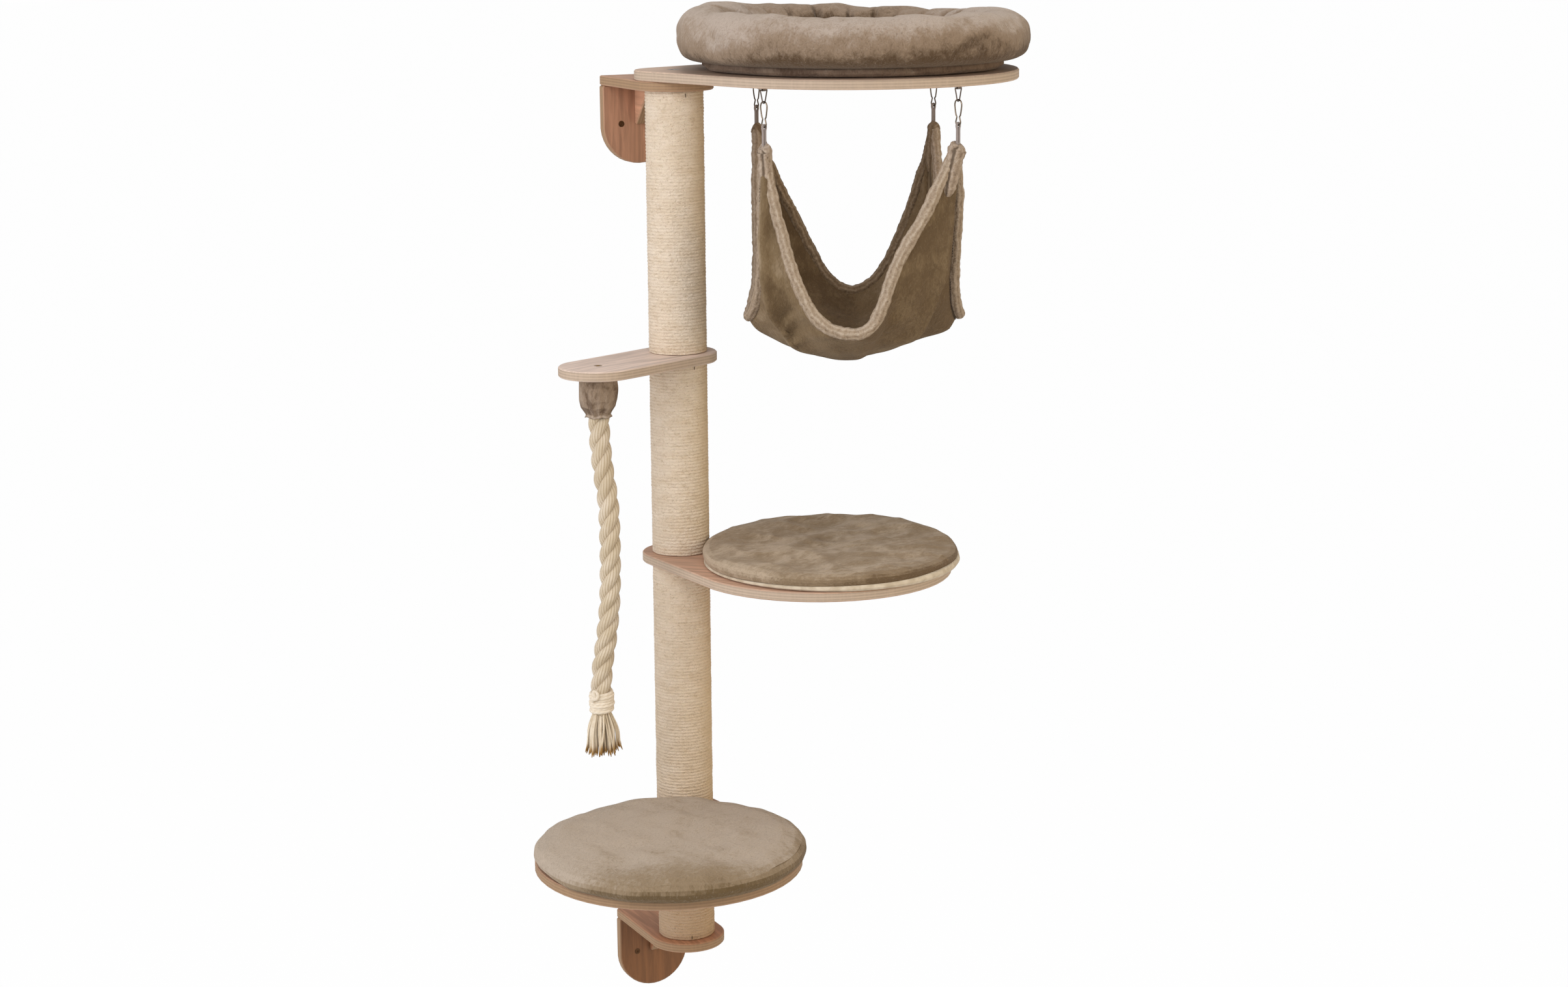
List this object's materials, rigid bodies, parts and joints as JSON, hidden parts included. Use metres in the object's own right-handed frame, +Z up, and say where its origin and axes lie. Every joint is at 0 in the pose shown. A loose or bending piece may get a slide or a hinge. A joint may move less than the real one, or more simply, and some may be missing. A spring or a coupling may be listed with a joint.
{
  "type": "wall-mounted cat tree",
  "caption": "Wall-mounted cat tree: a sisal-wound post on two wall brackets, with a round bed, cushioned teardrop shelves, a hanging hammock and a hanging rope.",
  "frame": {"origin": "centre of the lower wall plate's back face, midway between its two wall screws", "axes": "+X to the right along the wall seen from the room, +Y into the wall, +Z up"},
  "size_m": [0.8367, 0.5705, 1.6053],
  "materials": {
    "plywood": "smooth, clear lacquer",
    "wall_plywood": "smooth, stained reddish brown",
    "sisal": "wound natural sisal twine",
    "core_wood": "raw",
    "steel": "bright",
    "dark_steel": "browned",
    "yellow_zinc": "yellow zinc plated",
    "plush": "short plush",
    "cotton_rope": "three-strand cotton",
    "grey_cord": "woven cord"
  },
  "bodies": {
    "wall_frame": {"lower_wall_plate": "wall_plywood", "lower_bracket_arm": "plywood", "lower_gusset": "plywood", "upper_wall_plate": "wall_plywood", "upper_bracket_arm": "plywood", "upper_gusset": "plywood", "wall_screw_lower_left": "yellow_zinc", "wall_screw_lower_right": "yellow_zinc", "wall_screw_upper_left": "yellow_zinc", "wall_screw_upper_right": "yellow_zinc", "lower_shelf": "plywood", "middle_shelf": "plywood", "top_shelf": "plywood", "rope_arm": "plywood", "post_core_1": "core_wood", "post_core_2": "core_wood", "post_core_3": "core_wood", "post_core_4": "core_wood", "sisal_winding_1": "sisal", "sisal_winding_2": "sisal", "sisal_winding_3": "sisal", "sisal_winding_4": "sisal", "post_bolt_bottom": "steel", "stud_lower_shelf": "steel", "stud_middle_shelf": "steel", "stud_rope_arm": "steel", "post_bolt_top": "steel", "hanger_plate_front_left": "dark_steel", "hanger_plate_front_right": "dark_steel", "hanger_plate_back_left": "dark_steel", "hanger_plate_back_right": "dark_steel", "rope_screw": "yellow_zinc", "rope_cuff": "plush", "rope_clamped_end": "cotton_rope"},
    "ring_front_left_body": {"ring_front_left": "dark_steel"},
    "hook_front_left_body": {"snap_hook_front_left": "steel"},
    "loop_front_left_body": {"cord_loop_front_left": "grey_cord"},
    "ring_front_right_body": {"ring_front_right": "dark_steel"},
    "hook_front_right_body": {"snap_hook_front_right": "steel"},
    "loop_front_right_body": {"cord_loop_front_right": "grey_cord"},
    "ring_back_left_body": {"ring_back_left": "dark_steel"},
    "hook_back_left_body": {"snap_hook_back_left": "steel"},
    "loop_back_left_body": {"cord_loop_back_left": "grey_cord"},
    "ring_back_right_body": {"ring_back_right": "dark_steel"},
    "hook_back_right_body": {"snap_hook_back_right": "steel"},
    "loop_back_right_body": {"cord_loop_back_right": "grey_cord"},
    "hammock": {"hammock_sling": "plush"},
    "rope_pendulum": {"rope": "cotton_rope", "rope_whipping": "cotton_rope", "rope_tassel": "cotton_rope"},
    "bed": {"bed_base_cushion": "plush", "bed_bolster": "plush"},
    "pad": {"middle_pad": "plush"},
    "cushion": {"lower_cushion": "plush"}
  },
  "joints": [
    {"name": "ring_front_left_swing", "type": "hinge", "parent": "wall_frame", "child": "ring_front_left_body", "pos_m": [0.0354, -0.3807, 1.4325], "axis": [0.9563, 0.2924, 0], "range_deg": [-20, 20]},
    {"name": "hook_front_left_swing", "type": "hinge", "parent": "ring_front_left_body", "child": "hook_front_left_body", "pos_m": [0.0354, -0.3807, 1.4154], "axis": [0.2924, -0.9563, 0], "range_deg": [-20, 20]},
    {"name": "loop_front_left_swing", "type": "hinge", "parent": "hook_front_left_body", "child": "loop_front_left_body", "pos_m": [0.0354, -0.3807, 1.3783], "axis": [0.2924, -0.9563, 0], "range_deg": [-20, 20]},
    {"name": "ring_front_right_swing", "type": "hinge", "parent": "wall_frame", "child": "ring_front_right_body", "pos_m": [0.29242, -0.49674, 1.4325], "axis": [0.9563, 0.2924, 0], "range_deg": [-20, 20]},
    {"name": "hook_front_right_swing", "type": "hinge", "parent": "ring_front_right_body", "child": "hook_front_right_body", "pos_m": [0.29242, -0.49674, 1.4154], "axis": [0.2924, -0.9563, 0], "range_deg": [-20, 20]},
    {"name": "loop_front_right_swing", "type": "hinge", "parent": "hook_front_right_body", "child": "loop_front_right_body", "pos_m": [0.29242, -0.49674, 1.3783], "axis": [0.2924, -0.9563, 0], "range_deg": [-20, 20]},
    {"name": "ring_back_left_swing", "type": "hinge", "parent": "wall_frame", "child": "ring_back_left_body", "pos_m": [0.18566, -0.05135, 1.4325], "axis": [0.9563, 0.2924, 0], "range_deg": [-20, 20]},
    {"name": "hook_back_left_swing", "type": "hinge", "parent": "ring_back_left_body", "child": "hook_back_left_body", "pos_m": [0.18566, -0.05135, 1.4154], "axis": [0.2924, -0.9563, 0], "range_deg": [-20, 20]},
    {"name": "loop_back_left_swing", "type": "hinge", "parent": "hook_back_left_body", "child": "loop_back_left_body", "pos_m": [0.18566, -0.05135, 1.3783], "axis": [0.2924, -0.9563, 0], "range_deg": [-20, 20]},
    {"name": "ring_back_right_swing", "type": "hinge", "parent": "wall_frame", "child": "ring_back_right_body", "pos_m": [0.4401, -0.16624, 1.4325], "axis": [0.9563, 0.2924, 0], "range_deg": [-20, 20]},
    {"name": "hook_back_right_swing", "type": "hinge", "parent": "ring_back_right_body", "child": "hook_back_right_body", "pos_m": [0.4401, -0.16624, 1.4154], "axis": [0.2924, -0.9563, 0], "range_deg": [-20, 20]},
    {"name": "loop_back_right_swing", "type": "hinge", "parent": "hook_back_right_body", "child": "loop_back_right_body", "pos_m": [0.4401, -0.16624, 1.3783], "axis": [0.2924, -0.9563, 0], "range_deg": [-20, 20]},
    {"name": "hammock_level", "type": "hinge", "parent": "loop_front_left_body", "child": "hammock", "pos_m": [0.0354, -0.3807, 1.3508], "axis": [0.9563, 0.2924, 0], "range_deg": [-20, 20]},
    {"name": "rope_swing", "type": "hinge", "parent": "wall_frame", "child": "rope_pendulum", "pos_m": [-0.16085, -0.21069, 0.939], "axis": [-0.9298, -0.3681, 0], "range_deg": [-20, 20]},
    {"name": "bed_lift", "type": "slide", "parent": "wall_frame", "child": "bed", "axis": [0, 0, 1], "range_m": [0, 0.12]},
    {"name": "middle_pad_lift", "type": "slide", "parent": "wall_frame", "child": "pad", "axis": [0, 0, 1], "range_m": [0, 0.12]},
    {"name": "lower_cushion_lift", "type": "slide", "parent": "wall_frame", "child": "cushion", "axis": [0, 0, 1], "range_m": [0, 0.06]}
  ],
  "couplings": [
    {"joint": "loop_front_left_swing", "follows": "hook_front_left_swing", "ratio": -1},
    {"joint": "ring_front_right_swing", "follows": "ring_front_left_swing", "ratio": 1},
    {"joint": "hook_front_right_swing", "follows": "hook_front_left_swing", "ratio": 1},
    {"joint": "loop_front_right_swing", "follows": "hook_front_left_swing", "ratio": -1},
    {"joint": "ring_back_left_swing", "follows": "ring_front_left_swing", "ratio": 1},
    {"joint": "hook_back_left_swing", "follows": "hook_front_left_swing", "ratio": 1},
    {"joint": "loop_back_left_swing", "follows": "hook_front_left_swing", "ratio": -1},
    {"joint": "ring_back_right_swing", "follows": "ring_front_left_swing", "ratio": 1},
    {"joint": "hook_back_right_swing", "follows": "hook_front_left_swing", "ratio": 1},
    {"joint": "loop_back_right_swing", "follows": "hook_front_left_swing", "ratio": -1},
    {"joint": "hammock_level", "follows": "ring_front_left_swing", "ratio": -1}
  ]
}
